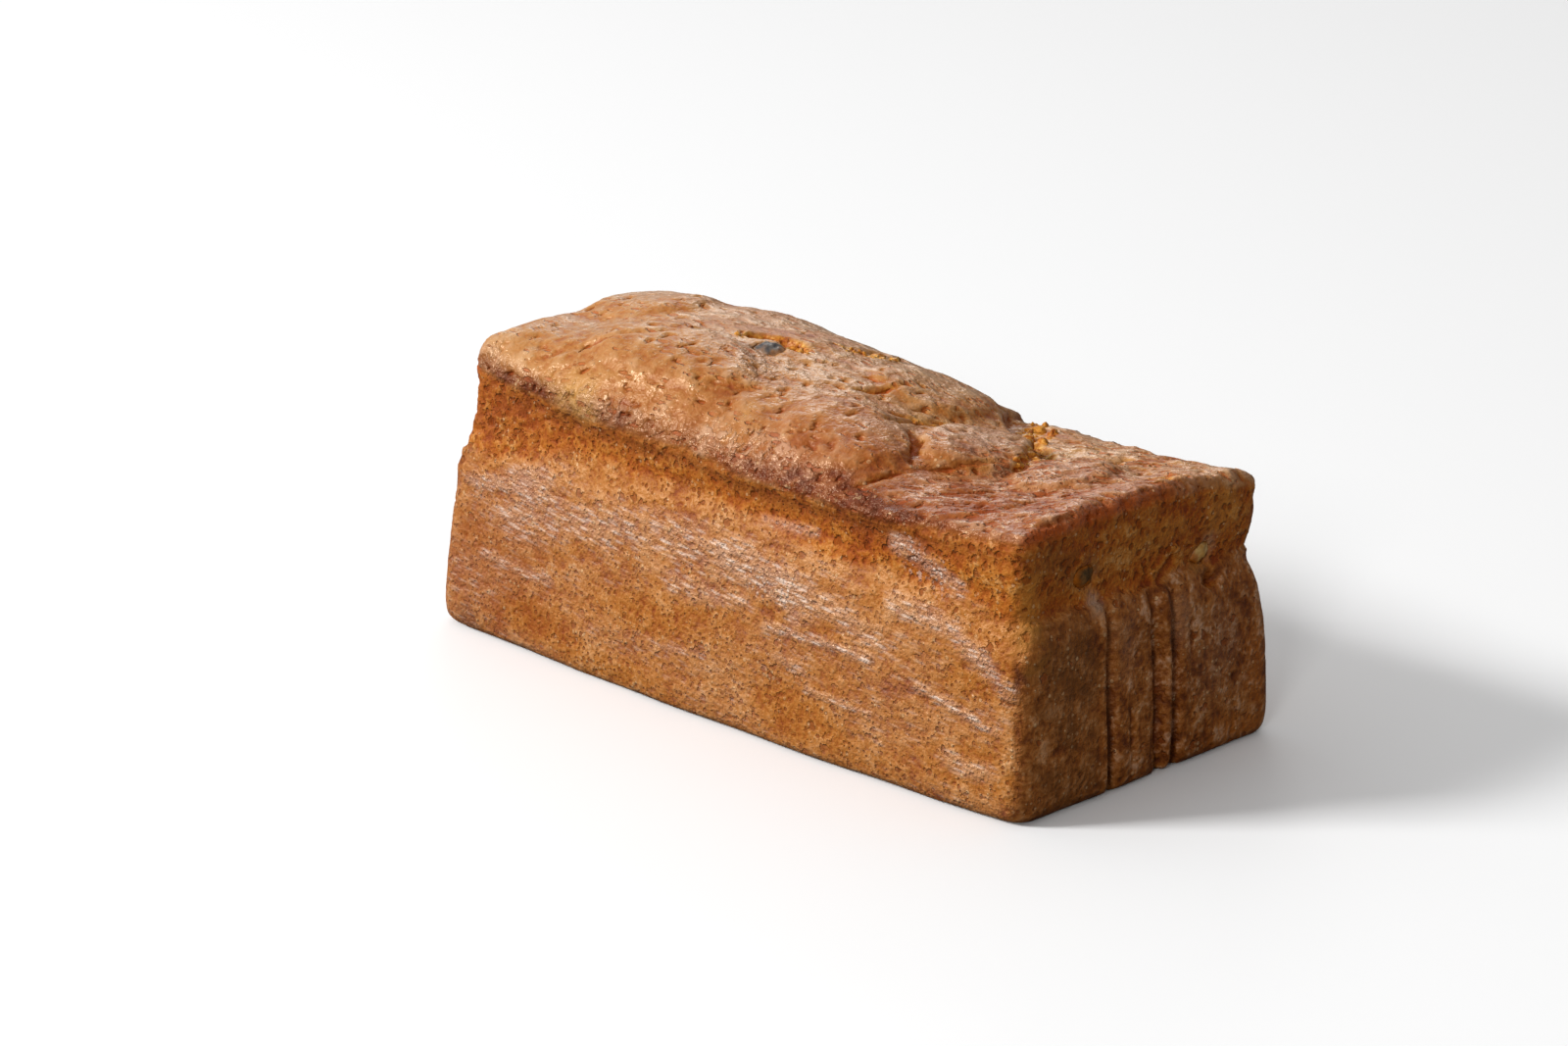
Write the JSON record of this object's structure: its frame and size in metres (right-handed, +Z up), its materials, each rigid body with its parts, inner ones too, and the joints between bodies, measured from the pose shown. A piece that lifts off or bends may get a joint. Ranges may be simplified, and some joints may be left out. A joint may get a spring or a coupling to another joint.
{
  "type": "fruit quick bread",
  "caption": "Loaf-shaped fruit quick bread with a cracked, lobed brown crust, pleated end walls and bits of fruit showing.",
  "frame": {"origin": "middle of the base, on the surface that the loaf stands on", "axes": "+X along the loaf towards the pleated near end, +Z up"},
  "size_m": [0.1974, 0.0942, 0.0808],
  "materials": {
    "crust": "baked crust, rosy tan on the crown and caramel on the walls, with a thin greasy sheen",
    "dark_fruit": "moist wrinkled skin, dark blue-grey",
    "pale_fruit": "moist cooked flesh, pale yellow"
  },
  "bodies": {
    "root": {"loaf": "crust", "fruit_crown": "dark_fruit", "fruit_end_dark": "dark_fruit", "fruit_end_pale": "pale_fruit"}
  },
  "joints": []
}
